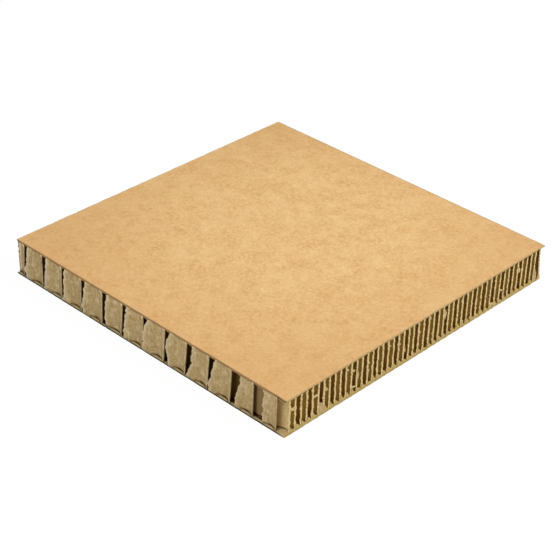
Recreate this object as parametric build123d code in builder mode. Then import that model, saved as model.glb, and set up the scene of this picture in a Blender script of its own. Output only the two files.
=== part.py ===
"""Paper honeycomb board: two kraft liners glued over an expanded core of paper ribbons.

The ribbons run along X and the core was stretched open along Y. Each ribbon waves to
and fro across its own line, in step with every second neighbour, and is glued to the
next one at the crests. The board is a sample cut from a larger panel.
"""

import os
from math import atan2, tan

from build123d import *

os.makedirs("parts", exist_ok=True)

# Board
board_length = 200.0  # along the ribbons, X
board_width = 200.0  # across the ribbons, Y
core_height = 20.0
liner_thickness = 0.5
liner_shift = 1.1  # how far the lower liner was laid towards -Y of the upper one

# Core
paper_thickness = 0.3
ribbon_pitch = 3.87  # from one ribbon to the next, across the board
cell_pitch = 15.7  # one full wave along a ribbon
bond_width = 3.4  # flat glued to the neighbour, once each way in a wave
core_inset = 0.4  # least the lower liner reaches past the last ribbon

# First ribbon, which the saw cut along its length
torn_gap = 2.2  # from one panel's cut rim to the next panel's torn flap
rim_draw = 2.8  # how far the saw drew a cut rim past the middle of its wall
flap_stub = 0.2  # what is left of a flap that came off
torn_panels = 2  # panels beside the front corner that lost their flap

half_wave = cell_pitch / 2
swing = (ribbon_pitch - paper_thickness) / 2  # from a ribbon's line to the middle of its crest
half_paper = paper_thickness / 2
wall_run = half_wave - bond_width  # along X, of a free wall between two bonds
mitre = half_paper * tan(atan2(2 * swing, wall_run) / 2)
dip_reach = (bond_width + wall_run) / 2  # from the middle of a bond to the middle of a wall
rim_reach = dip_reach + rim_draw
flap_reach = cell_pitch - torn_gap - rim_reach

start_x = -board_length / 2
end_x = board_length / 2
core_bottom = liner_thickness
lower_edge_y = -(board_width + liner_shift) / 2
first_line_y = lower_edge_y + half_paper
last_line_limit = lower_edge_y + board_width - core_inset - swing - half_paper
ribbon_count = 1 + int((last_line_limit - first_line_y) / ribbon_pitch)


def clipped(points, low_x, high_x):
    """The part of an open line that lies between two places along X."""
    kept = []
    for (x0, y0), (x1, y1) in zip(points, points[1:]):
        a = max(x0, low_x)
        b = min(x1, high_x)
        if b - a < 1e-6:
            continue
        slope = (y1 - y0) / (x1 - x0)
        if not kept:
            kept.append((a, y0 + slope * (a - x0)))
        kept.append((b, y0 + slope * (b - x0)))
    return kept


def paper_face(line_y, inward, side, all_flats):
    """One face of a ribbon's paper, side +1 for the one towards +Y, from end to end.

    Bonds number from the edge at -X, where the cut went through the middle of one. The
    ribbon swings towards +Y at the even ones if inward is +1, and to -Y if it is -1.
    Deep inside the board, where only glue lines count, a bond is drawn as a line.
    """
    points = []
    for bond in range(-1, int(board_length / half_wave) + 3):
        crest = inward if bond % 2 == 0 else -inward
        middle = start_x + bond * half_wave
        level = line_y + crest * swing + side * half_paper
        near_cut = abs(end_x - middle) < half_wave
        if all_flats or near_cut:
            half_flat = bond_width / 2 + crest * side * mitre
            points += [(middle - half_flat, level), (middle + half_flat, level)]
        else:
            points.append((middle, level))
    return clipped(points, start_x, end_x)


def ribbon_outline(number):
    """Both faces of one whole ribbon, joined at the cut ends."""
    line_y = first_line_y + (number - 1) * ribbon_pitch
    inward = 1 if number % 2 == 1 else -1
    all_flats = number == ribbon_count
    upper = paper_face(line_y, inward, 1, all_flats)
    lower = paper_face(line_y, inward, -1, all_flats)
    return lower + upper[::-1]


def panel_outline(middle, reach):
    """What the saw left of one wave of the first ribbon.

    From the torn edge a flap lies along the cut, then the paper dips in to the bond
    with the second ribbon and comes back out to its cut rim.
    """
    half_flat = bond_width / 2
    dip_level = first_line_y + swing
    centre_line = [
        (middle - reach, first_line_y),
        (middle - dip_reach, first_line_y),
        (middle - half_flat, dip_level),
        (middle + half_flat, dip_level),
        (middle + rim_reach, first_line_y),
    ]
    lower = clipped([(x, y - half_paper) for x, y in centre_line], start_x, end_x)
    upper = clipped([(x, y + half_paper) for x, y in centre_line], start_x, end_x)
    return lower + upper[::-1]


# Lower liner
with BuildPart() as bottom_liner:
    with BuildSketch(Plane.XY):
        with Locations((0, -liner_shift / 2)):
            Rectangle(board_length, board_width)
    extrude(amount=liner_thickness)
bottom_liner.part.label = "bottom_liner"
export_step(bottom_liner.part, "parts/bottom_liner.step")

# Upper liner
with BuildPart() as top_liner:
    with BuildSketch(Plane.XY.offset(core_bottom + core_height)):
        with Locations((0, liner_shift / 2)):
            Rectangle(board_length, board_width)
    extrude(amount=liner_thickness)
top_liner.part.label = "top_liner"
export_step(top_liner.part, "parts/top_liner.step")

# First ribbon: a row of panels with torn gaps between them
panel_count = int(board_length / cell_pitch) + 1
with BuildPart() as first_ribbon:
    with BuildSketch(Plane.XY.offset(core_bottom)):
        for panel in range(panel_count):
            whole = panel < panel_count - torn_panels
            reach = flap_reach if whole else dip_reach + flap_stub
            with BuildLine():
                Polyline(*panel_outline(start_x + panel * cell_pitch, reach), close=True)
            make_face()
    extrude(amount=core_height)
first_ribbon.part.label = "ribbon_01"
export_step(first_ribbon.part, "parts/ribbon_01.step")

# Whole ribbons, each glued to its neighbours at the bonds
for number in range(2, ribbon_count + 1):
    with BuildPart() as ribbon:
        with BuildSketch(Plane.XY.offset(core_bottom)):
            with BuildLine():
                Polyline(*ribbon_outline(number), close=True)
            make_face()
        extrude(amount=core_height)
    ribbon.part.label = f"ribbon_{number:02d}"
    export_step(ribbon.part, f"parts/ribbon_{number:02d}.step")

print("ribbons:", ribbon_count)
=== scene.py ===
# Paper honeycomb board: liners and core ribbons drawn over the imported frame.
import math
import bpy
import numpy as np
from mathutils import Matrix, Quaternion, Vector


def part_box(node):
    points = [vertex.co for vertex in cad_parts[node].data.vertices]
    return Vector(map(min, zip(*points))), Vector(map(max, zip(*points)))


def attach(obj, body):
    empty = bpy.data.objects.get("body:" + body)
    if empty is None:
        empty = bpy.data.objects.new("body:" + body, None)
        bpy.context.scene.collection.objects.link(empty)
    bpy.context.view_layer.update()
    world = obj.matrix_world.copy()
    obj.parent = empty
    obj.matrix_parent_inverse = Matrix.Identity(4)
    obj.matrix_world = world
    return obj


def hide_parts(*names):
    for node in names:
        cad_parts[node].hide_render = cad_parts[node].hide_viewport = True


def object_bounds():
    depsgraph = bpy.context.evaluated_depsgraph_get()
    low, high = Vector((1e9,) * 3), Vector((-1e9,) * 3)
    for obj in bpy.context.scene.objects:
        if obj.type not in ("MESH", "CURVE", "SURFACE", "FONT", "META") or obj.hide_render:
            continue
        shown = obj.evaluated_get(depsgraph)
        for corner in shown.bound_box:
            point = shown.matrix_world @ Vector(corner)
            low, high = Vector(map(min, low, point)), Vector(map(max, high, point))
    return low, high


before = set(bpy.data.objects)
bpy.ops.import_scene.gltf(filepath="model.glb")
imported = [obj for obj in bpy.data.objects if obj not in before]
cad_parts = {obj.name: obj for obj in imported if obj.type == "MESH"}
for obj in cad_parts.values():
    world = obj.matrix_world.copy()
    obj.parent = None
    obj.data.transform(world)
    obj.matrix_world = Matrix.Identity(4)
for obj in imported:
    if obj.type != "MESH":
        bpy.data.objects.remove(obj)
cadLow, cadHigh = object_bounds()
bpy.ops.object.select_all(action="DESELECT")
mm = 0.001

# Places that come from the frame
lowerLow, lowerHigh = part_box("bottom_liner")
coreLow, coreHigh = lowerHigh.z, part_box("top_liner")[0].z
ribbonNames = sorted(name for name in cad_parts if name.startswith("ribbon_"))
secondLow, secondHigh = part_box(ribbonNames[1])
startX, endX = secondLow.x, secondHigh.x  # the two cuts across the ribbons
secondLine = (secondLow.y + secondHigh.y) / 2
ribbonPitch = (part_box(ribbonNames[-1])[0].y - secondLow.y) / (len(ribbonNames) - 2)
print("frame loaded,", len(ribbonNames), "ribbons")


def pick(piece):
    # this piece alone is selected, and active
    bpy.ops.object.select_all(action="DESELECT")
    piece.select_set(True)
    bpy.context.view_layer.objects.active = piece


def solidify(piece, thickness, **settings):
    # half of the thickness goes to each side of the sheet
    modifier = piece.modifiers.new("Solidify", "SOLIDIFY")
    modifier.thickness = thickness
    modifier.offset = 0
    for name, value in settings.items():
        setattr(modifier, name, value)
    pick(piece)
    bpy.ops.object.modifier_apply(modifier=modifier.name)


def wander(size, seed, a, b=0):
    # a smooth random field over one or two lengths, mostly between -1 and 1, with swings about size apart
    waves = 7
    draw = np.random.RandomState(seed)
    field = 0
    for _ in range(waves):
        turn, phase = draw.uniform(0, 2 * math.pi, 2)
        pace = 2 * math.pi / size * draw.uniform(0.6, 1.5)
        field = field + np.sin(pace * (a * math.cos(turn) + b * math.sin(turn)) + phase)
    return field / math.sqrt(2 * waves)


def swings(parts, seed, along):
    # wanders added up, each part with its strength, its size in mm and its own step in seed
    return sum(strong * wander(size * mm, seed + step, along) for strong, size, step in parts)


def ease(low, high, value):
    # 0 at low, 1 at high, smooth between; low may also be the larger one
    t = np.clip((value - low) / (high - low), 0, 1)
    return t * t * (3 - 2 * t)


# Materials

def linear(hexColour):
    # an sRGB hex value as the linear colour that a socket takes
    channels = [int(hexColour[i:i + 2], 16) / 255 for i in (1, 3, 5)]
    return [c / 12.92 if c <= 0.04045 else ((c + 0.055) / 1.055) ** 2.4 for c in channels] + [1.0]


def addNode(tree, kind, inputs=None, **properties):
    # inputs are sockets by name or number, each with a value or with the output that feeds it
    node = tree.nodes.new("ShaderNode" + kind)
    for name, value in properties.items():
        setattr(node, name, value)
    for socket, given in (inputs or {}).items():
        if isinstance(given, bpy.types.NodeSocket):
            tree.links.new(given, node.inputs[socket])
        else:
            node.inputs[socket].default_value = given
    return node.outputs


def startPaper(name, look):
    # a material with a look's patterns, and its first shares: where they come in, and what the meshes carry
    material = bpy.data.materials.new(name)
    material.use_nodes = True
    tree = material.node_tree
    tree.nodes.clear()
    place = addNode(tree, "TexCoord")["Object"]
    pattern, share = {}, {}
    for key, (size, detail, rough) in look["noises"].items():
        noise = {"Vector": place, "Scale": 1 / size, "Detail": detail, "Roughness": rough}
        pattern[key] = addNode(tree, "TexNoise", noise)["Fac"]
    for key, (turns, size, start, detail) in look["strands"].items():
        # the most that any of the turned, stretched noises gives
        pattern[key] = None
        for turn in turns:
            laid = {"Vector": place, "Location": (start, turn * mm, 0), "Scale": size,
                    "Rotation": (0, 0, math.radians(turn))}
            turned = addNode(tree, "Mapping", laid, vector_type="TEXTURE")["Vector"]
            strand = addNode(tree, "TexNoise", {"Vector": turned, "Scale": 1.0, "Detail": detail})["Fac"]
            if pattern[key]:
                strand = addNode(tree, "Math", {0: pattern[key], 1: strand}, operation="MAXIMUM")["Value"]
            pattern[key] = strand
    for key, (start, full) in look["comesIn"].items():
        reach = {"Value": pattern[key], "From Min": start, "From Max": full}
        share[key] = addNode(tree, "MapRange", reach)["Result"]
    for key in look["carried"]:
        share[key] = addNode(tree, "Attribute", attribute_name=key)["Fac"]
    return material, tree, place, pattern, share


def finishPaper(tree, look, pattern, share):
    # the look's colours laid over each other by their shares, on a matt shader with two patterns as relief
    colour = {key: linear(value) for key, value in look.items() if str(value).startswith("#")}
    colour["paper"] = colour["dark"]
    for under, over, amount in look["layers"]:
        # the colours of a Mix node are its inputs 6 and 7 and its output 2
        mixed = {"Factor": share[amount], 6: colour[under], 7: colour[over]}
        colour[under] = addNode(tree, "Mix", mixed, data_type="RGBA")[2]
    first, second = (pattern[key] for key in look["relief"])
    height = addNode(tree, "Math", {0: first, 1: second}, operation="ADD")["Value"]
    bump = addNode(tree, "Bump", {"Strength": 0.4, "Distance": 0.08 * mm, "Height": height})["Normal"]
    matt = {"Base Color": colour["paper"], "Normal": bump, "Roughness": look["roughness"], "IOR": 1.5,
            "Specular IOR Level": 0.25}
    addNode(tree, "OutputMaterial", {"Surface": addNode(tree, "BsdfPrincipled", matt)["BSDF"]})


fibreSize = (2.2 * mm, 0.4 * mm, 0.4 * mm)  # real fibres are 0.03 mm wide; drawn wider so that they show

kraftLook = {
    "dark": "#C8975E",  # faint cloudy patches, and the painted shade towards the corners
    "base": "#E5B97D",  # warm tan
    "light": "#ECC88F",
    "fleck": "#FFEAC4",  # single pale fibres
    "strand": "#C08F58",  # single dark fibres
    "speck": "#94683C",  # bark specks
    "inner": "#E0CB98",  # the face that carries the glue
    "deepShade": "#8A6230",  # painted shade on the same face far in the cells
    "shadeBehind": "#4A3320",  # painted shade on it in the gaps behind the sawn ribbon
    "crackShade": "#4A2B18",  # painted shade in the crack behind a ply that came away
    "shadedCorners": 0.4,  # painted shade: share of the dark colour at the corners
    "brightestSpot": (-5 * mm, 20 * mm, 21 * mm),  # the middle of the brightest part, away from which the painted shade grows
    "roughness": 0.8,
    # size, detail and roughness of each noise
    "noises": {"mottle": (1.7 * mm, 4.0, 0.62), "cloud": (9 * mm, 3.0, 0.6), "specks": (0.9 * mm, 1.0, 0.5)},
    # turns of the strands in degrees, their size along each axis, where their noise starts, and its detail
    "strands": {
        "flecks": ((20, 75, 140), fibreSize, 0, 1.0),
        "threads": ((0, 50, 110), fibreSize, 9 * mm, 1.0),
    },
    "relief": ("mottle", "flecks"),
    # the values of a pattern between which its colour comes in
    "comesIn": {"mottle": (0.25, 0.62), "cloud": (0.34, 0.94), "flecks": (0.69, 0.86), "threads": (0.67, 1.0),
                "specks": (0.74, 0.84)},
    "carried": ("torn", "cracked"),  # shares that the mesh carries
    "facing": (0.2, 0.6),  # how much a face points into the core where the inner colour comes in
    # shares of the surface by place: what they follow, where they start and where they are full
    "places": {
        # painted shade: darker towards the corners, away from the brightest spot
        "shadedCorners": ("fromBrightestSpot", 55 * mm, 135 * mm),
        "offEnds": ("fromMiddleX", endX - 4 * mm, endX - 7 * mm),
        "offSides": ("fromMiddleY", cadHigh.y - 5 * mm, cadHigh.y - 6.2 * mm),
        "pastPanels": ("y", cadLow.y + 1.3 * mm, cadLow.y + 2.2 * mm),
        "nearPanels": ("y", cadLow.y + 7 * mm, cadLow.y + 6 * mm),
        "leftOfCorner": ("x", endX - 11 * mm, endX - 13 * mm),
        "rightEnd": ("x", endX - 4 * mm, endX - 0.6 * mm),
        "leftEnd": ("x", startX + 1.2 * mm, startX + 0.6 * mm),
        "pastFront": ("y", cadLow.y + 0.6 * mm, cadLow.y + 2 * mm),
        "fringe": ("z", 1.0 * mm, 1.5 * mm),
    },
    # the painted shade of the cells doesn't reach the open front corner, and the colour of the front edge
    # runs a little way round its left corner and fades before its right one
    "joined": [
        ("cellShade", "MULTIPLY", "offEnds", "offSides"),
        # painted shade in the gaps behind the sawn ribbon, stopping short of the front corner
        ("gaps", "MULTIPLY", "pastPanels", "nearPanels"),
        ("gaps", "MULTIPLY", "gaps", "leftOfCorner"),
        ("atLeft", "MULTIPLY", "leftEnd", "pastFront"),
        ("atEnds", "MAXIMUM", "rightEnd", "atLeft"),
    ],
    # each colour, what is laid over it, and by which share
    "layers": [
        ("paper", "base", "mottle"), ("paper", "light", "cloud"), ("paper", "fleck", "flecks"),
        ("paper", "strand", "threads"), ("paper", "speck", "specks"), ("paper", "dark", "shadedCorners"),
        # painted shade on the inner face: deep in the cells, and in the gaps behind the sawn ribbon
        ("inner", "deepShade", "cellShade"), ("inner", "shadeBehind", "gaps"), ("paper", "inner", "turnedIn"),
        ("across", "fringe", "fringe"), ("along", "across", "atEnds"), ("paper", "along", "torn"),
        ("paper", "crackShade", "cracked"),
    ],
}


def kraftLiner(name, innerSide, edgeColours):
    # uncoated kraft liner from a paper machine: matt, faintly cloudy, with short fibres lying every way
    look = {**kraftLook, **edgeColours}
    material, tree, place, pattern, share = startPaper(name, look)
    x, y, z = addNode(tree, "SeparateXYZ", {"Vector": place})
    normal = addNode(tree, "NewGeometry")["Normal"]
    facing = addNode(tree, "SeparateXYZ", {"Vector": normal})["Z"]
    fromBrightestSpot = addNode(tree, "VectorMath", {0: place, 1: look["brightestSpot"]}, operation="DISTANCE")["Value"]
    source = {"x": x, "y": y, "z": z, "fromBrightestSpot": fromBrightestSpot}
    for key, axis in (("fromMiddleX", x), ("fromMiddleY", y)):
        source[key] = addNode(tree, "Math", {0: axis}, operation="ABSOLUTE")["Value"]
    for key, (follows, start, full) in look["places"].items():
        # the painted shade at the corners goes up to its own share, the other places up to 1
        most = look["shadedCorners"] if key == "shadedCorners" else 1.0
        reach = {"Value": source[follows], "From Min": start, "From Max": full, "To Max": most}
        share[key] = addNode(tree, "MapRange", reach)["Result"]
    for key, operation, first, second in look["joined"]:
        share[key] = addNode(tree, "Math", {0: share[first], 1: share[second]}, operation=operation)["Value"]
    start, full = look["facing"]
    inwards = {"Value": facing, "From Min": start * innerSide, "From Max": full * innerSide}
    share["turnedIn"] = addNode(tree, "MapRange", inwards)["Result"]
    finishPaper(tree, look, pattern, share)
    return material


coreLook = {
    "base": "#D4B882",  # grey khaki of recycled fluting
    "dark": "#AB8E5E",
    "light": "#F6E3B6",
    "inside": "#D2AE5B",  # painted shade deep in the cells, where only browned light comes
    "shutShade": "#B59245",  # painted deeper shade in the narrow ends of the cells that close right behind the cut
    "torn": "#FBE1A2",  # straw where it is cut or torn
    "tornDark": "#DDBB7A",
    "scuffed": "#F6E2C2",  # greyer where the tear pulled fibres up from its face
    "browned": "#96794F",  # the second ribbon's face where the open gaps show it
    "glue": "#472506",  # glue soaked into a foot, and painted shade at the feet, behind the panels and in the widest gap
    "roughness": 0.85,
    "noises": {"mottle": (1.3 * mm, 4.0, 0.6), "patch": (4 * mm, 2.0, 0.5), "fur": (0.5 * mm, 2.0, 0.5)},
    "strands": {"streaks": ((0,), (0.7 * mm, 0.7 * mm, 7 * mm), 0, 2.0)},  # fine lines down the paper
    "relief": ("mottle", "fur"),
    "comesIn": {"mottle": (0.3, 0.7), "streaks": (0.5, 1.1), "patch": (0.52, 0.95), "fur": (0.3, 0.6)},
    "carried": ("inside", "shutSide", "backed", "scuffed", "browned", "torn", "glue"),
    # how much a face points sideways where these shares start and where they are full
    "facing": {"shutIn": (0.0, 0.2), "atBack": (0.1, 0.4)},
    "layers": [
        ("paper", "base", "mottle"), ("paper", "light", "streaks"), ("paper", "light", "patch"),
        ("inside", "shutShade", "shutIn"), ("paper", "inside", "inside"), ("paper", "shutShade", "backed"),
        ("paper", "scuffed", "scuffed"), ("paper", "browned", "browned"), ("tornDark", "torn", "fur"),
        ("paper", "tornDark", "torn"), ("paper", "glue", "glue"),
    ],
}


def corePaper():
    # recycled fluting paper: matt and khaki, faintly streaked, pale and furry where the saw tore it
    material, tree, _, pattern, share = startPaper("core_paper", coreLook)
    normal = addNode(tree, "NewGeometry")["Normal"]
    sideways = addNode(tree, "SeparateXYZ", {"Vector": normal})["Y"]
    # painted shade: the side that faces a closing cell, and the second ribbon's back, take the darker shut
    # colour
    towardsShut = addNode(tree, "Math", {0: sideways, 1: share["shutSide"]}, operation="MULTIPLY")["Value"]
    for key, turned in (("shutIn", towardsShut), ("atBack", sideways)):
        start, full = coreLook["facing"][key]
        reach = {"Value": turned, "From Min": start, "From Max": full}
        share[key] = addNode(tree, "MapRange", reach)["Result"]
    both = {0: share["backed"], 1: share["atBack"]}
    share["backed"] = addNode(tree, "Math", both, operation="MULTIPLY")["Value"]
    finishPaper(tree, coreLook, pattern, share)
    return material


# Colours of a liner's edge along the ribbons, of its edge across them, and of the fringe on that one;
# the edge along the ribbons is darker with painted shade, the lower liner's front edge most of all
upperEdges = {"along": "#9B7A52", "across": "#C8AA72", "fringe": "#C8AA72"}
lowerEdges = {"along": "#2C271B", "across": "#C4A968", "fringe": "#D3B76F"}

upperKraft = kraftLiner("kraft_liner_upper", -1, upperEdges)
lowerKraft = kraftLiner("kraft_liner_lower", 1, lowerEdges)
fluting = corePaper()
print("materials made")


# Shapes shared by the ribbons and the liners

wave = {
    "cellPitch": 15.7 * mm,
    "bondWidth": 3.4 * mm,
    "cornerRound": 0.9 * mm,
    "paper": 0.3 * mm,
    "drift": 0.28 * mm,  # how far glue and stretch pull the cells about
    "driftSize": 34 * mm,
    "springOut": 0.2 * mm,  # how far a cut end springs aside
    "springSize": 6 * mm,
    "springDeep": (0.4 * mm, 2 * mm),  # how far in it stands straight, and where it is back in its wave
    # where the core was pressed outwards near the front corner, in mm: X, Y, reach along X and Y, how far
    "pressed": [(97.0, -92.7, 7.0, 7.0, 0.9), (80.5, -94.6, 3.8, 6.0, 2.8)],
    "nicks": ((0.5, 5, 0), (0.6, 1.7, 1), (0.45, 0.7, 2)),  # swings of a cut or torn paper edge
    "seated": 0.05 * mm,  # how far a core paper may reach into a liner
    "smoothAngle": math.radians(35),
}


def crest(x):
    # +1 at an even bond, -1 at an odd one, flat at the bonds and straight between, with round corners
    pitch, bond = wave["cellPitch"], wave["bondWidth"]
    steps = np.linspace(-1, 1, 7)
    total = 0
    for step in steps:
        along = (x + step * wave["cornerRound"] - startX) / pitch
        away = np.abs((along + 0.5) % 1 - 0.5) * pitch
        total = total + 1 - 2 * np.clip((away - bond / 2) / (pitch / 2 - bond), 0, 1)
    return total / len(steps)


def coreDrift(x, y):
    # every ribbon is pulled about by the same field, so that glued neighbours stay together
    driftX, driftY = (wave["drift"] * wander(wave["driftSize"], seed, x, y) for seed in (11, 12))
    for middleX, middleY, reachX, reachY, push in wave["pressed"]:
        away = ((x / mm - middleX) / reachX) ** 2 + ((y / mm - middleY) / reachY) ** 2
        driftY = driftY - push * mm * np.exp(-away)
    return driftX, driftY


def ribbonLine(number, x):
    # where a ribbon runs at each place along X: its wave, pulled about by glue and straightened by the saw
    low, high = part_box(ribbonNames[number - 1])
    lineY = (low.y + high.y) / 2
    inward = 1 if number % 2 == 1 else -1
    loose = ease(*wave["springDeep"], endX - x)
    swing = inward * (high.y - low.y - wave["paper"]) / 2 * loose
    driftX, driftY = coreDrift(x, lineY + swing * crest(x))
    offset = wave["springOut"] * wander(wave["springSize"], 14, lineY) * (1 - loose)
    return lineY + swing * crest(x + driftX) + driftY + offset


def nicks(seed, along):
    # the outline of a cut or torn paper edge, 0 to 1
    return np.clip(0.5 + swings(wave["nicks"], seed, along), 0, 1)


def gridPiece(name, columns, rows):
    bpy.ops.mesh.primitive_grid_add(x_subdivisions=columns, y_subdivisions=rows, size=1)
    piece = bpy.context.object
    piece.name = name
    piece.data.name = name
    return piece


def allPlaces(piece):
    # X, Y and Z of every point
    places = np.empty(len(piece.data.vertices) * 3)
    piece.data.vertices.foreach_get("co", places)
    return places[0::3], places[1::3], places[2::3]


def gridShares(piece):
    # how far along and how far up each point of a fresh grid is, from 0 to 1
    x, y, _ = allPlaces(piece)
    return x + 0.5, y + 0.5


def setPlaces(piece, x, y, z):
    places = np.stack([x, y, z], 1)
    piece.data.vertices.foreach_set("co", places.ravel())
    piece.data.update()


def setShare(piece, name, share):
    # a value from -1 to 1 at every point, for the material to read
    attribute = piece.data.attributes.new(name, "FLOAT", "POINT")
    attribute.data.foreach_set("value", np.clip(share, -1, 1))


def setThick(piece, share):
    # the group that Solidify reads, in a few steps
    steps = 8
    group = piece.vertex_groups.new(name="thick")
    level = np.round(np.clip(share, 0, 1) * steps).astype(int)
    for step in range(1, steps + 1):
        group.add([int(i) for i in np.nonzero(level == step)[0]], step / steps, "REPLACE")


def thicken(piece, frayed):
    # paper thickness all over, more at the furry edges, and nothing past the saw cuts or far into a liner
    solidify(piece, frayed, vertex_group="thick", thickness_vertex_group=wave["paper"] / frayed)
    x, y, z = allPlaces(piece)
    z = np.clip(z, coreLow - wave["seated"], coreHigh + wave["seated"])
    setPlaces(piece, np.clip(x, startX, endX), np.clip(y, cadLow.y, cadHigh.y), z)


def joinPieces(pieces):
    # the first piece takes in the others
    pick(pieces[0])
    for piece in pieces[1:]:
        piece.select_set(True)
    bpy.ops.object.join()
    return pieces[0]


def dress(piece, node, material):
    piece.data.materials.clear()
    piece.data.materials.append(material)
    pick(piece)
    bpy.ops.object.shade_smooth_by_angle(angle=wave["smoothAngle"])
    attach(piece, "root")
    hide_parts(node)


# Torn flaps that hang from the +X cut

flapCut = {
    "columns": 10,
    "rows": 12,
    "frayed": 0.6 * mm,  # how thick the fur at its tip is
    "furFrom": 0.6,  # share of its length where the fur starts
    "tipFrom": 0.8,  # where its tip starts to narrow
    "tipLess": 0.6,
    "ragged": (0.14, 0.6),  # swings in its width, and how long they are
    "setBack": (0.45, 0.15),  # from the cut at its root, and how much more at its tip, in mm
    "bow": 0.25,  # how far its middle stands out between them, in mm
    "crumple": 0.1,  # swings of its face and its length, in mm
    "crumpleSize": (0.5, 1.6),
    "clear": 0.3 * mm,  # room kept to each liner
    "pale": (0.75, 0.07),  # how torn it looks, and how much less for each mm that it is tall
    "paleSwing": (0.3, 1.5 * mm),
    "paleTip": (0.6, 0.75),  # how much more torn its tip looks, and where that starts
    # ribbon, height above the lower liner, tall, tall at its tip, reach towards +Y, droop
    "flaps": [
        (2, 14.2, 1.2, 2.6, 4.4, 1.0), (6, 13.2, 1.3, 1.2, 3.9, 0.2), (7, 5.2, 7.6, 2.8, 4.9, 2.4),
        (8, 14.6, 3.6, 0.7, 2.4, 2.0), (12, 18.0, 2.0, 0.6, 1.8, 1.8), (13, 14.8, 1.6, 0.7, 2.4, 1.0),
        (13, 5.0, 1.0, 0.8, 3.2, 0.8), (14, 10.4, 8.8, 2.0, 1.4, 0.5), (16, 13.9, 1.4, 0.4, 1.4, 0.7),
        (16, 9.4, 1.2, 0.4, 1.5, 0.5), (20, 16.2, 1.6, 0.4, 1.8, 0.6), (22, 14.0, 1.8, 0.4, 1.5, 1.0),
        (23, 9.0, 5.6, 1.2, 1.6, 1.5), (26, 13.0, 1.0, 0.5, 1.8, 0.2), (28, 18.0, 2.2, 1.0, 1.6, 0.4),
        (31, 14.6, 8.0, 1.5, 2.4, 0.0), (35, 3.4, 3.4, 1.0, 1.8, 0.5), (41, 3.2, 2.0, 1.4, 4.4, 1.2),
        (43, 8.8, 1.4, 0.8, 2.8, 1.4), (47, 15.2, 5.6, 1.2, 2.4, 2.0), (51, 4.8, 8.4, 4.2, 2.7, 2.4),
    ],
}


def makeFlap(number, height, tall, tipTall, reach, droop):
    # a torn strip that folds out of the cut edge and lies across the next slit
    look = flapCut
    piece = gridPiece(f"flap_{number}", look["columns"], look["rows"])
    out, up = gridShares(piece)
    seed = 8000 + number * 10 + int(height)
    width = tall + (tipTall - tall) * out - look["tipLess"] * tipTall * ease(look["tipFrom"], 1, out)
    ragged, raggedSize = look["ragged"]
    width = width * (1 + ragged * wander(raggedSize, seed, out))
    small, large = look["crumpleSize"]
    sideways = out * reach + look["crumple"] * wander(small, seed + 1, up, out)
    y = ribbonLine(number, np.array([endX]))[0] + sideways * mm
    z = coreLow + (height + (up - 0.5) * width - droop * out) * mm
    bow = look["bow"] * np.sin(out * math.pi) + look["crumple"] * wander(large, seed + 2, y / mm, z / mm)
    atRoot, toTip = look["setBack"]
    x = endX - (atRoot + toTip * out - bow) * mm
    setPlaces(piece, x, y, np.clip(z, coreLow + look["clear"], coreHigh - look["clear"]))
    (pale, lessPale), (swing, size), (more, tipFrom) = look["pale"], look["paleSwing"], look["paleTip"]
    torn = pale - lessPale * tall + swing * wander(size, seed + 3, y, z) + more * ease(tipFrom, 1, out)
    setShare(piece, "torn", np.clip(torn, 0, 1))
    setThick(piece, ease(look["furFrom"], 1, out))
    thicken(piece, look["frayed"])
    return piece


# Whole ribbons

ribbonCut = {
    "columns": 240,
    "rows": 80,  # only in the columns beside each cut
    "openColumns": 40,  # of the second ribbon, which shows between the last panels
    "nearCut": (0, 0.25, 0.5, 0.75, 1.0, 1.3, 1.7, 2.2, 2.8, 3.5, 4.3),  # the columns there, in mm from it
    "frayed": 1.7 * mm,  # how thick the furry cut edge is at the most
    "frayDeep": 0.55 * mm,
    "plump": 0.56,  # share of that thickness which it has on average
    "swells": ((0.24, 1.3, 8), (0.12, 3, 9)),
    "footSwell": 0.4,  # how much thicker it is beside a liner
    "footTall": 1.2 * mm,
    "pale": (0.1 * mm, 0.4 * mm),  # from the cut, where the torn colour starts to go and where it is gone
    "paleSwing": 0.15 * mm,
    "paleSize": 1.2 * mm,
    "setBack": 0.15 * mm,  # from the liners' edge to the furthest tip
    "recess": 0.14 * mm,  # how much further back the deepest nick goes
    "recessDeep": 3.5 * mm,
    "crumple": 0.09 * mm,  # sideways buckle of the cut edge
    "buckles": ((0.6, 2.6, 5), (0.6, 1.0, 6)),
    "lean": 2.2 * mm,  # how far the foot of the last ribbon was pulled out at the +X cut
    "leanLong": 4 * mm,
    "spurCount": (9, 14),
    "spurReach": (0.2, 0.85),
    "spurSides": [1, 1, 1, -0.6],
    "spurHeight": (1.0, 19.2),
    "spurTall": (0.8, 1.8),
    "spurDeep": 0.8 * mm,
    "spurPale": 0.8,
    "insideFrom": (0.2 * mm, 0.6 * mm),  # behind each cut, where the painted shade of the cells comes in
    "insideLeast": 0.3,  # its share on the left
    "deeper": (-60 * mm, 20 * mm),  # along X, between which it grows to its full share
    "shutDeep": 3 * mm,  # how far in a cell's closing end reaches
}

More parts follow.
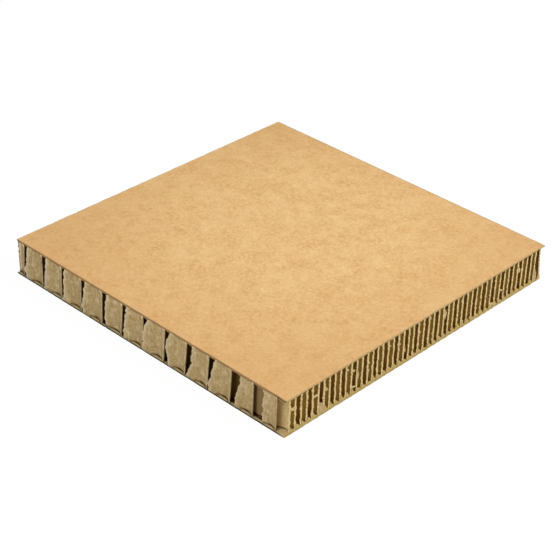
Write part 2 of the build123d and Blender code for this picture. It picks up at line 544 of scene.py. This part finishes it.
# The end of the second ribbon, open between the last panels, with reaches in mm from the +X cut
openEnd = {
    "inSight": (28, 25),
    "ripple": 0.15 * mm,
    "rippleSize": 5 * mm,
    "wideGap": (13, 15),  # the far side of the last panel, past which the widest gap shows it
    "gapsEnd": (30, 26),
    "browned": 0.85,
    "glueFoot": (0.3 * mm, 0.8 * mm),  # heights between which the glue and painted contact shade at its foot go
    "glueTaller": 0.8 * mm,  # how much higher that goes in the widest gap
    "glueFilm": 0.12,  # painted shade all over it there
    "glueBehind": (0.5, 0.2),  # painted shade: its share behind the other panels, and how much more further in
    # from the cut, in mm, where the painted shade behind the other panels grows further
    "shadeBehind": (32, 44),
    "furry": (10, 6),  # where it looks torn all over, seen through the gap at the front corner
    "furryShare": 0.5,
    "footGap": 0.35 * mm,
    "footTall": 1.5 * mm,
    "shade": ((0.45, 6, 8), (0.55, 24, 32)),  # two steps into the shade of the cells
    "shutFrom": 6,  # from here on the panels shut its front in
    "backed": (0.3, 0.8),  # past its furry edge, where its back faces a shut cell and takes its painted shade
}


def spursOf(number, side):
    # height, tall and reach of the small teeth that the saw turned over along one cut end, in mm
    look = ribbonCut
    draw = np.random.RandomState(5000 + number * 2 + side)
    found = []
    for _ in range(draw.randint(*look["spurCount"])):
        reach = draw.uniform(*look["spurReach"]) * draw.choice(look["spurSides"])
        found.append((draw.uniform(*look["spurHeight"]), draw.uniform(*look["spurTall"]), reach))
    return found


def columnPlaces():
    # where the columns of a ribbon stand along X: close together near both cuts, and evenly between
    near = np.array(ribbonCut["nearCut"]) * mm
    between = ribbonCut["columns"] + 1 - 2 * len(near)
    middle = np.linspace(startX + near[-1], endX - near[-1], between + 2)[1:-1]
    return np.concatenate([startX + near, middle, endX - near[::-1]])


def makeBlank(name, openColumns):
    # one row of faces, with the cross lines beside both cuts split into many points
    look = ribbonCut
    piece = gridPiece(name, look["columns"], 1)
    column = np.rint(gridShares(piece)[0] * look["columns"]).astype(int)
    bpy.context.tool_settings.mesh_select_mode = (False, True, False)
    bpy.ops.object.mode_set(mode="EDIT")
    bpy.ops.mesh.select_all(action="DESELECT")
    bpy.ops.object.mode_set(mode="OBJECT")
    for edge in piece.data.edges:
        first, second = (column[i] for i in edge.vertices)
        atCut = first < len(look["nearCut"]) or first > look["columns"] - openColumns
        edge.select = bool(first == second and atCut)
    bpy.ops.object.mode_set(mode="EDIT")
    bpy.ops.mesh.subdivide(number_cuts=look["rows"] - 1)
    bpy.ops.object.mode_set(mode="OBJECT")
    return piece


ribbonBlank = makeBlank("ribbon_blank", len(ribbonCut["nearCut"]))
openBlank = makeBlank("open_blank", ribbonCut["openColumns"])
ribbonColumns = columnPlaces()


def insideShare(number, place):
    # share of painted shade: 1 where a ribbon is shut away in the board; the last ribbon and the end of the
    # second lie open
    start, full = ribbonCut["insideFrom"]
    shade = ease(start, full, place - startX) * ease(start, full, endX - place)
    if number == 2:
        shade = sum(part * ease(near * mm, far * mm, endX - place) for part, near, far in openEnd["shade"])
    least = ribbonCut["insideLeast"]
    return shade * (number < len(ribbonNames)) * (least + (1 - least) * ease(*ribbonCut["deeper"], place))


def frayEnds(number, place, y, z):
    # both cut ends: nicked, buckled, swollen with fur, and with small teeth turned over along them
    look = ribbonCut
    x = place
    torn = thick = 0 * place
    for side, edge in ((-1, startX), (1, endX)):
        seed = 1000 + number * 20 + side
        fromEdge = np.abs(place - edge)
        atCut = 1 - ease(0, look["frayDeep"], fromEdge)
        fromFace = np.minimum(z - coreLow, coreHigh - z)
        swell = swings(look["swells"], seed, z)
        swell = swell + look["footSwell"] * (1 - ease(0, look["footTall"], fromFace))
        back = look["setBack"] + look["recess"] * nicks(seed, z)
        x = x - side * back * (1 - ease(0, look["recessDeep"], fromEdge))
        buckle = look["crumple"] * swings(look["buckles"], seed, z)
        y = y + atCut * (buckle + swell * look["frayed"] / 2)
        furDeep = fromEdge + look["paleSwing"] * wander(look["paleSize"], seed + 7, z, x)
        torn = np.maximum(torn, 1 - ease(*look["pale"], furDeep))
        thick = np.maximum(thick, atCut * (look["plump"] + swell))
        spurs = spursOf(number, side) if number < len(ribbonNames) else []
        for height, tall, reach in spurs:
            # a sawtooth: it grows towards its lower end and stops there
            down = 0.5 + (coreLow + height * mm - z) / (tall * mm)
            turned = (1 - ease(0, look["spurDeep"], fromEdge)) * np.clip(down, 0, 1) * (down < 1)
            y = y + turned * reach * mm / 2
            thick = thick + turned * abs(reach) * mm / look["frayed"]
            torn = np.maximum(torn, look["spurPale"] * turned)
    return x, y, torn, thick


def openSecond(piece, place, x, y, z, torn):
    # the second ribbon shows between the last panels: rippled, browned, in painted shade, and off the lower
    # liner at its foot
    look = openEnd
    fromCut = (endX - place) / mm
    inSight = ease(*look["inSight"], fromCut)
    y = y + look["ripple"] * inSight * wander(look["rippleSize"], 61, x, z)
    inGap = ease(*look["wideGap"], fromCut)
    foot = 1 - ease(*look["glueFoot"], z - coreLow - look["glueTaller"] * inGap)
    unseen, more = look["glueBehind"]
    shadeBehind = unseen + more * ease(*look["shadeBehind"], fromCut)
    glue = shadeBehind * (1 - inSight) + inSight * np.maximum(foot, look["glueFilm"] * inGap)
    setShare(piece, "glue", glue)
    setShare(piece, "browned", look["browned"] * inGap * ease(*look["gapsEnd"], fromCut))
    setShare(piece, "backed", ease(*look["backed"], fromCut) * (place > 0))
    torn = np.maximum(torn, look["furryShare"] * ease(*look["furry"], fromCut))
    z = z + look["footGap"] * inSight * (1 - ease(0, look["footTall"], z - coreLow))
    return y, z, torn


def makeRibbon(number):
    look = ribbonCut
    node = ribbonNames[number - 1]
    blank = openBlank if number == 2 else ribbonBlank
    piece = blank.copy()
    piece.data = blank.data.copy()
    piece.name = node + "_paper"
    bpy.context.scene.collection.objects.link(piece)
    along, up = gridShares(piece)
    place = ribbonColumns[np.rint(along * look["columns"]).astype(int)]
    z = coreLow + up * (coreHigh - coreLow)
    x, y, torn, thick = frayEnds(number, place, ribbonLine(number, place), z)
    # which side lies in a cell that closes behind the cut and takes the darker painted shade; the panels shut
    # the second one in
    shutSide = (1 if number % 2 == 0 else -1) * (endX - place < look["shutDeep"])
    if number == 2:
        y, z, torn = openSecond(piece, place, x, y, z, torn)
        shutSide = shutSide - 1.0 * (endX - place > openEnd["shutFrom"] * mm)
    if number == len(ribbonNames):
        y = y + look["lean"] * (1 - up) ** 2 * (1 - ease(0, look["leanLong"], endX - place))
        y = np.where(up < 0.5, np.minimum(y, lowerHigh.y - wave["paper"]), y)
    setPlaces(piece, x, y, z)
    setShare(piece, "torn", torn)
    setShare(piece, "inside", insideShare(number, place))
    setShare(piece, "shutSide", shutSide)
    setThick(piece, thick)
    thicken(piece, look["frayed"])
    hung = [makeFlap(*flap) for flap in flapCut["flaps"] if flap[0] == number]
    dress(joinPieces([piece] + hung), node, fluting)


for number in range(2, len(ribbonNames) + 1):
    makeRibbon(number)
bpy.data.objects.remove(ribbonBlank)
bpy.data.objects.remove(openBlank)
print("whole ribbons made")


# First ribbon, sawn along its length

panelCut = {
    "columns": 46,
    "rows": 64,
    "frayed": 0.6 * mm,  # how thick the fur of a torn edge and of a rim is
    "tearFur": 0.8 * mm,  # how far in each of them goes
    "rimFur": 0.6 * mm,
    "rimReach": 5.6 * mm,  # from the middle of a panel's bond to a rim that wasn't drawn along
    "plane": lowerLow.y + wave["paper"] / 2,  # the saw cut
    "frontRoom": 0.3 * mm,  # the least from the lower liner's edge to the paper
    "cornerCut": 0.9 * mm,  # how far the top corner of a rim is rounded off
    "cornerTall": 1.6 * mm,
    "rimSwing": 0.06 * mm,
    "rimSize": 1.2 * mm,
    "rimSeen": 0.65 * mm,  # how much of a gap the thickness of the rim beside it takes up
    "rimSeenFrom": (0.2 * mm, 1 * mm),  # widths of a gap between which it comes to that
    "footGap": 0.28 * mm,  # how far a panel's foot came off the lower liner where it dips in
    "footDeep": (0.4, 1.2),  # how deep it dips there, in mm
    "footTall": 2 * mm,
    "leftEnd": (0.6 * mm, 0.5 * mm),  # how far in the first panel starts, and how deep its nicks are
    "tears": ((0.35, 4, 400), (0.25, 1.6, 430), (0.15, 0.8, 445)),  # swings of a torn edge
    "leastGap": 0.12 * mm,
    "flutter": 0.22 * mm,  # of the paper beside its torn edge
    "flutterIn": 0.4,  # how much more of it goes in than out
    "flutterDeep": 3 * mm,
    "flutterSize": 3.5 * mm,
    "ripple": 0.05 * mm,
    "rippleSize": 4 * mm,
    # the paper's line from the flap to the rim, from the middle of its bond: along, and in from the saw cut
    "line": [(-7.2, 0.0), (-4.0, 0.05), (-2.6, 0.7), (-1.2, 1.4), (0.2, 1.785), (1.4, 1.785), (2.7, 1.5),
             (4.3, 1.05), (5.5, 0.3), (6.2, 0.0), (7.0, 0.0)],
    "lineRound": (-0.6, -0.3, 0, 0.3, 0.6),  # its corners are rounded by the mean of these shifts
    "liftedCorner": {5: 1.6 * mm},  # panels whose torn edge came up from the lower liner
    "liftedLong": 6 * mm,
    "liftedTall": 3 * mm,
    # how far the saw drew each rim along, and how far it leans back to the left going down, from the left
    "drawn": (0.9, 0.2, 0.7, 0.7, 1.7, 1.3, 1.3, 1.5, 1.4, 1.4, 1.3, 0.6, 0.2),
    "lean": (1.8, 0.9, 1.1, 1.3, 0.9, 1.8, 1.3, 1.5, 1.9, 1.7, 1.3, 0.6, 1.0),
    # width of the gap before each panel, read at five heights from its top to its foot
    "gaps": [
        (2.0, 1.8, 1.5, 0.1, 2.2), (3.1, 2.6, 2.0, 1.4, 1.4), (1.6, 1.2, 1.4, 1.2, 0.4),
        (2.7, 1.5, 1.2, 0.5, 1.2), (2.6, 1.9, 1.8, 1.7, 2.6), (2.3, 1.5, 1.3, 1.0, 1.6),
        (2.8, 0.6, 0.1, 0.1, 0.1), (2.9, 0.9, 0.5, 2.4, 2.9), (3.1, 3.1, 3.1, 1.7, 0.2),
        (3.2, 2.3, 1.4, 0.3, 0.9), (5.0, 4.7, 4.1, 2.6, 2.8), (5.6, 5.8, 5.4, 5.8, 5.5),
    ],
}

# Marks and painted contact shade on the panels, by the distance from the torn edge, the rim, the top or the
# foot
panelMarks = {
    "scuffed": (0.4 * mm, 1.5 * mm),  # where the band beside a tear starts to go and where it is gone
    "scuffedSwing": (0.4 * mm, 1.5 * mm),  # how far that wanders, and how long its swings are
    "faded": (1.2 * mm, 2.6 * mm),  # a fainter band that reaches further in
    "fadedSwing": (0.5 * mm, 3 * mm),
    "fadedShare": 0.45,
    "scuffedShare": (0.8, 0.04),  # on the first panel, and how much less on each one after it
    "tornDeep": 0.5 * mm,
    "tornShare": 0.5,
    "rim": (0.2 * mm, 0.65 * mm),  # where the marks of a rim start to go and where they are gone
    "rimTop": (0.5 * mm, 2 * mm),  # from the top, where a rim has half of its marks and where all
    "rimSwing": (0.5, 3 * mm),
    "rimPatch": (0.75, 0.2),  # share of its marks on average, and the least
    "rimScuffed": 0.6,
    # glue and painted contact shade along the foot: each part's share there, and the heights between which it
    # goes
    "glue": {
        "line": (0.5, 0.1 * mm, 0.5 * mm),
        # darker towards the foot, and more so towards the rim
        "darkerLow": (0.12, 0.5 * mm, 2.5 * mm),
        "darkerLowByRim": (0.1, 2 * mm, 9 * mm),
        "corner": (0.55, 1 * mm, 3 * mm),
        "soakedAndShaded": (1, 0.7 * mm, 1.6 * mm),
    },
    "darkerLowByRimFrom": (0, 4),  # along the panel from the middle of its bond, in mm
    "soakedAndShadedFrom": (-1.5, 1),
    "soakedAndShadedLeast": 0.65,
    "soakedAndShadedDeep": (0.15, 0.6),  # how deep the paper dips there, in mm
}


def rimPlace(panel, up):
    drawn = panelCut["drawn"][panel] + panelCut["lean"][panel] * (up - 0.5)
    return startX + panel * wave["cellPitch"] + panelCut["rimReach"] + drawn * mm


def tearPlace(panel, up, z):
    # the torn edge at a panel's left, past the gap and the rim before it
    look = panelCut
    if panel == 0:
        inset, nicked = look["leftEnd"]
        return startX + inset + nicked * nicks(340, z)
    widths = look["gaps"][panel - 1][::-1]
    gap = np.interp(up, np.linspace(0, 1, len(widths)), widths) * mm
    gapSeen = np.maximum(gap + swings(look["tears"], panel, z) * mm, look["leastGap"])
    return rimPlace(panel - 1, up) + look["rimSeen"] * ease(*look["rimSeenFrom"], gap) + gapSeen


def panelGlueAndShade(panel, own, depth, fromFoot):
    # glue and painted contact shade along a panel's foot, and soaked paper in painted shade where it dips to
    # the second ribbon
    look = panelMarks
    at = {key: most * (1 - ease(full, gone, fromFoot)) for key, (most, full, gone) in look["glue"].items()}
    glue = at["line"] + at["darkerLow"] + at["darkerLowByRim"] * ease(*look["darkerLowByRimFrom"], own)
    if panel == 0:
        glue = np.maximum(glue, at["corner"])
    least = look["soakedAndShadedLeast"]
    soakedAndShaded = ease(*look["soakedAndShadedDeep"], depth) * (least + (1 - least) * ease(*look["soakedAndShadedFrom"], own))
    return np.maximum(glue, soakedAndShaded * at["soakedAndShaded"])


def markPanel(piece, panel, x, z, fromTear, fromRim):
    # pale where the tear pulled fibres up, and patchy along the rim
    look = panelMarks
    swing, size = look["scuffedSwing"]
    ragged = fromTear + swing * wander(size, 530 + panel, z, x)
    scuffed = 1 - ease(*look["scuffed"], ragged)
    swing, size = look["fadedSwing"]
    faded = 1 - ease(*look["faded"], fromTear + swing * wander(size, 540 + panel, z, x))
    share, less = look["scuffedShare"]
    scuffed = np.maximum(scuffed, look["fadedShare"] * faded) * (share - less * panel)
    (swing, size), (mean, least) = look["rimSwing"], look["rimPatch"]
    patches = np.clip(mean + swing * wander(size, 560 + panel, z), least, 1)
    atRim = (1 - ease(*look["rim"], fromRim)) * (0.5 + 0.5 * ease(*look["rimTop"], coreHigh - z)) * patches
    setShare(piece, "scuffed", np.maximum(scuffed, look["rimScuffed"] * atRim))
    setShare(piece, "torn", look["tornShare"] * np.maximum(1 - ease(0, look["tornDeep"], ragged), atRim))


def makePanel(panel):
    look = panelCut
    piece = gridPiece(f"panel_{panel}", look["columns"], look["rows"])
    along, up = gridShares(piece)
    z = coreLow + up * (coreHigh - coreLow)
    rim = rimPlace(panel, up) + look["rimSwing"] * wander(look["rimSize"], 300 + panel, z)
    rim = rim - look["cornerCut"] * np.clip(1 - (coreHigh - z) / look["cornerTall"], 0, 1) ** 2
    left = tearPlace(panel, up, z)
    x = left + along * (rim - left)
    fromTear, fromRim = x - left, rim - x
    own = (x - startX - panel * wave["cellPitch"]) / mm
    lineAlong, lineDeep = np.array(look["line"]).T
    depth = sum(np.interp(own + shift, lineAlong, lineDeep) for shift in look["lineRound"])
    depth = depth / len(look["lineRound"])
    flutter = (1 - ease(0, look["flutterDeep"], fromTear)) * wander(look["flutterSize"], 460 + panel, z, x)
    y = look["plane"] + depth * mm + look["flutter"] * (flutter + look["flutterIn"] * np.abs(flutter))
    y = y + look["ripple"] * wander(look["rippleSize"], 500 + panel, x, z)
    y = np.maximum(y, lowerLow.y + look["frontRoom"])
    setShare(piece, "glue", panelGlueAndShade(panel, own, depth, z - coreLow))
    z = z + look["footGap"] * ease(*look["footDeep"], depth) * (1 - ease(0, look["footTall"], z - coreLow))
    lifted = look["liftedCorner"].get(panel, 0) * (1 - ease(0, look["liftedLong"], fromTear))
    z = z + lifted * (1 - ease(0, look["liftedTall"], z - coreLow))
    markPanel(piece, panel, x, z, fromTear, fromRim)
    setPlaces(piece, x, y, z)
    setThick(piece, 1 - np.minimum(ease(0, look["tearFur"], fromTear), ease(0, look["rimFur"], fromRim)))
    thicken(piece, look["frayed"])
    return piece


firstRibbon = joinPieces([makePanel(panel) for panel in range(len(panelCut["drawn"]))])
firstRibbon.name = ribbonNames[0] + "_panels"
dress(firstRibbon, ribbonNames[0], fluting)
print("sawn ribbon made")


# Liners

linerCut = {
    "aroundEdge": 1600,  # points, so one every 0.5 mm
    "rings": (0, 0.12, 0.35, 0.8, 1.8, 3.4),  # rings of points from the edge inwards, in mm
    "recess": 0.22 * mm,
    "recessAlong": 0.08 * mm,  # the cut along the ribbons is cleaner
    "recessDeep": 2 * mm,
    "curl": 0.1 * mm,
    "curlDeep": 3.0 * mm,
    "curlSize": 9 * mm,
    "pale": (0.1 * mm, 0.5 * mm),  # from the edge, where its colour starts to go and where it is gone
    "burrOut": 0.7 * mm,  # how far the saw pushed the upper liner's lower edge out over the panels
    "burrDown": 0.15 * mm,
    "burrDeep": (0.1 * mm, 0.9 * mm),
    "burrShare": (0.8, 0.3, 2.5 * mm),  # its mean, its swings and how long they are
    "cornerClear": 2 * mm,  # how far from a corner the burr and the fringe are whole
    "fringe": 0.5 * mm,  # how far torn fibres hang from the upper liner across the cut ribbons
    "fringeUp": 0.9 * mm,  # and how far they stand up from the lower one
    "fringeDeep": (0.15 * mm, 0.5 * mm),
    "fringeShare": (0.8, 0.15, 1.5),  # its mean, its least and its most
    "fringeSwings": ((0.4, 3.9, 81), (0.35, 1.2, 82)),
    "frontClear": (0.5 * mm, 2 * mm),  # from the front, where the lower liner's fringe starts and is whole
    "smearUp": 3.4 * mm,  # more beside each ribbon, where the saw dragged them along
    "smearFall": 1.3,  # how soon that falls off towards the next ribbon
    "smearSwing": (0.35, 7 * mm),
    "smearLimits": (0.5, 1.4),
    "farSide": 0.25,  # share of the lower liner's fringe at -X
    "farClear": (1 * mm, 4 * mm),
    "coreSide": 0.2 * mm,  # points nearer than this to the core side belong to it
}

plyCut = {
    "columns": 30,
    "rows": 4,
    "long": 7.2 * mm,  # of the upper liner's lowest ply, which came away at the front corner
    "droop": 1.1 * mm,
    "thick": 0.15 * mm,
    "fromCorner": 0.35 * mm,
    "root": 0.9,  # how far in it starts, in mm
    "out": 1.1,  # and how far out it reaches from there
    "ragged": (0.9, 0.15, 1.6 * mm),  # its mean share of that, its swings and how long they are
    "below": 0.05 * mm,
    "slack": (0.12, 0.6),  # where along it hangs from, and how evenly
    "sag": (0.2, 2 * mm),
    "crackedTo": 0.7,  # share of its reach that lies in the crack and takes its painted shade
    "crackDeep": 0.5 * mm,
    "crackFade": 0.6 * mm,
}


def squarePiece(name, low, high):
    # a sheet with rings of points near its edge: a disc, inset ring by ring and then pushed out to the square
    look = linerCut
    count = look["aroundEdge"]
    step = 0.1
    bpy.ops.mesh.primitive_circle_add(vertices=count, radius=1, fill_type="NGON")
    piece = bpy.context.object
    piece.name = name
    piece.data.name = name
    bpy.ops.object.mode_set(mode="EDIT")
    bpy.ops.mesh.select_all(action="SELECT")
    for _ in look["rings"][1:]:
        bpy.ops.mesh.inset(thickness=step)
    bpy.ops.object.mode_set(mode="OBJECT")
    x, y, _ = allPlaces(piece)
    ring = np.rint((1 - np.hypot(x, y)) / step).astype(int)
    inside = np.array(look["rings"])[ring] * mm
    corner = np.rint(np.arctan2(y, x) / (2 * math.pi) * count) / count % 1 * 4
    sideX = np.interp(corner, [0, 1, 2, 3, 4], [1, 1, -1, -1, 1])
    sideY = np.interp(corner, [0, 1, 2, 3, 4], [-1, 1, 1, -1, -1])
    x = sideX * ((high.x - low.x) / 2 - inside) + (low.x + high.x) / 2
    y = sideY * ((high.y - low.y) / 2 - inside) + (low.y + high.y) / 2
    return piece, x, y


def addFringe(piece, low, high, upward):
    # the saw left a furry lip on the core side of each liner, and bent the upper one's front edge over
    look = linerCut
    x, y, z = allPlaces(piece)
    coreSide = (z < low.z + look["coreSide"]) if upward == 1 else (z > high.z - look["coreSide"])
    fromFront, fromEnd = y - low.y, high.x - np.abs(x)
    atEnds = (1 - ease(*look["fringeDeep"], fromEnd)) * coreSide
    mean, least, most = look["fringeShare"]
    rag = np.clip(mean + swings(look["fringeSwings"], 0, y), least, most)
    if upward == 1:
        z = z - atEnds * rag * look["fringe"]
        atFront = (1 - ease(*look["burrDeep"], fromFront)) * coreSide * ease(0, look["cornerClear"], fromEnd)
        mean, swing, size = look["burrShare"]
        atFront = atFront * (mean + swing * wander(size, 77, x))
        y = y - atFront * look["burrOut"]
        z = z - atFront * look["burrDown"]
        # painted shade in the crack over the loose ply, on the core side near the front edge
        plyEnd, fade = endX - plyCut["long"], plyCut["crackFade"]
        overPly = ease(plyEnd - fade, plyEnd + fade, x) * ease(0, fade, endX - x)
        setShare(piece, "cracked", overPly * coreSide * (y < low.y + plyCut["crackDeep"]))
    else:
        past = ((y - secondLine) / ribbonPitch) % 1
        smear = look["smearUp"] * (1 - past) ** look["smearFall"]
        swing, size = look["smearSwing"]
        smear = smear * np.clip(1 + swing * wander(size, 83, y), *look["smearLimits"])
        ending = np.where(x > 0, 1, look["farSide"] * ease(*look["farClear"], fromFront))
        ending = ending * ease(0, look["cornerClear"], high.y - y) * ease(*look["frontClear"], fromFront)
        z = z + atEnds * (rag * look["fringeUp"] + smear) * ending
    setPlaces(piece, x, y, z)


def makePly(low):
    # the upper liner's lowest ply hangs a little, most in the middle of its length
    look = plyCut
    piece = gridPiece("loose_ply", look["columns"], look["rows"])
    along, out = gridShares(piece)
    out = 1 - out
    x = endX - look["fromCorner"] - along * look["long"]
    start, even = look["slack"]
    loose = np.sin(np.clip(start + along, 0, 1) * math.pi) ** even
    (mean, swing, size), (sag, sagSize) = look["ragged"], look["sag"]
    y = low.y + (look["root"] - look["out"] * out * (mean + swing * wander(size, 91, x))) * mm
    z = low.z - look["below"] - look["droop"] * out * loose * (1 + sag * wander(sagSize, 92, x))
    setPlaces(piece, x, y, z)
    setShare(piece, "cracked", out < look["crackedTo"])
    solidify(piece, look["thick"])
    return piece


def makeLiner(node, upward, seed, paper):
    look = linerCut
    low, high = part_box(node)
    middleY, middleZ = (low.y + high.y) / 2, (low.z + high.z) / 2
    piece, x, y = squarePiece(node + "_sheet", low, high)
    fromX = np.minimum(x - low.x, high.x - x)
    fromY = np.minimum(y - low.y, high.y - y)
    fromEdge = np.minimum(fromX, fromY)
    near = 1 - ease(0, look["curlDeep"], fromEdge)
    waving = 0.5 + 0.5 * np.clip(wander(look["curlSize"], seed + 60, x, y), -1, 1)
    z = middleZ - upward * near * look["curl"] * waving
    ragX = look["recess"] * nicks(seed, y) * (1 - ease(0, look["recessDeep"], fromX))
    ragY = look["recessAlong"] * nicks(seed + 30, x) * (1 - ease(0, look["recessDeep"], fromY))
    setPlaces(piece, x - np.sign(x) * ragX, y - np.sign(y - middleY) * ragY, z)
    setShare(piece, "torn", 1 - ease(*look["pale"], fromEdge))
    solidify(piece, high.z - low.z)
    addFringe(piece, low, high, upward)
    x, y, z = allPlaces(piece)
    setPlaces(piece, np.clip(x, low.x, high.x), np.clip(y, cadLow.y, high.y), np.clip(z, cadLow.z, cadHigh.z))
    if upward == 1:
        piece = joinPieces([piece, makePly(low)])
    dress(piece, node, paper)


makeLiner("top_liner", 1, 700, upperKraft)
makeLiner("bottom_liner", -1, 800, lowerKraft)
print("liners made")


# Stage, light and camera

stageLook = {
    "floorSize": 6.0,
    "floor": "#B4B4B4",
    "ownShade": 0.12,  # how much of the floor's own shade the camera sees
    "white": 1.09,  # of the floor as the camera sees it, so that it comes out white with its share of shade
    "world": 0.22,
    "worldColour": (1, 0.99, 0.97, 1),
    # place, size and power of each round lamp, which points at the origin
    "lamps": {
        "key": ((-0.03, 0.05, 0.38), 0.35, 0.40),
        "side": ((1.0, 0.7, 1.0), 0.7, 17.0),
        "front": ((0.1, -0.5, 0.17), 0.25, 0.57),
        "high": ((0.0, -0.7, 0.8), 0.5, 2.0),
    },
}


def makeStage():
    look = stageLook
    bpy.ops.mesh.primitive_plane_add(size=look["floorSize"], location=(0, 0, 0))
    floor = bpy.context.object
    floor.name = "floor"
    material = bpy.data.materials.new("pale_floor")
    material.use_nodes = True
    tree = material.node_tree
    tree.nodes.clear()
    matt = addNode(tree, "BsdfDiffuse", {"Color": linear(look["floor"])})[0]
    white = addNode(tree, "Emission", {"Color": (1, 1, 1, 1), "Strength": look["white"]})[0]
    cameraRay = addNode(tree, "LightPath")["Is Camera Ray"]
    seen = addNode(tree, "Math", {0: cameraRay, 1: 1 - look["ownShade"]}, operation="MULTIPLY")["Value"]
    mixed = addNode(tree, "MixShader", {0: seen, 1: matt, 2: white})[0]
    addNode(tree, "OutputMaterial", {"Surface": mixed})
    floor.data.materials.append(material)


def makeWorld():
    world = bpy.data.worlds.new("studio")
    bpy.context.scene.world = world
    world.use_nodes = True
    tree = world.node_tree
    tree.nodes.clear()
    look = stageLook
    soft = addNode(tree, "Background", {"Color": look["worldColour"], "Strength": look["world"]})[0]
    white = addNode(tree, "Background", {"Color": (1, 1, 1, 1), "Strength": 1.0})[0]
    cameraRay = addNode(tree, "LightPath")["Is Camera Ray"]
    mixed = addNode(tree, "MixShader", {0: cameraRay, 1: soft, 2: white})[0]
    addNode(tree, "OutputWorld", {"Surface": mixed})


def makeLamp(name, place, size, power):
    bpy.ops.object.light_add(type="AREA", location=place)
    lamp = bpy.context.object
    lamp.name = name
    lamp.data.shape = "DISK"
    lamp.data.size = size
    lamp.data.energy = power
    lamp.rotation_euler = Vector(place).to_track_quat("Z", "Y").to_euler()


makeStage()
makeWorld()
for name, settings in stageLook["lamps"].items():
    makeLamp(name, *settings)

photoView = {
    "aim": (14.19 * mm, -15.22 * mm, 10.5 * mm),  # what stands at the middle of the photograph
    "turn": 43.26,
    "lift": 32.64,
    "roll": 1.59,
    "away": 847.4 * mm,
    "lens": 103.27,
    "clipStart": 10 * mm,
}


def makeCamera():
    look = photoView
    turn, lift = math.radians(look["turn"]), math.radians(look["lift"])
    back = Vector((math.sin(turn) * math.cos(lift), -math.cos(turn) * math.cos(lift), math.sin(lift)))
    bpy.ops.object.camera_add(location=Vector(look["aim"]) + back * look["away"])
    camera = bpy.context.object
    camera.name = "camera"
    aimed = back.to_track_quat("Z", "Y") @ Quaternion((0, 0, 1), math.radians(look["roll"]))
    camera.rotation_euler = aimed.to_euler()
    camera.data.lens = look["lens"]
    camera.data.clip_start = look["clipStart"]
    bpy.context.scene.camera = camera


makeCamera()
bpy.context.scene.view_settings.view_transform = "Standard"
print("stage, light and camera set")
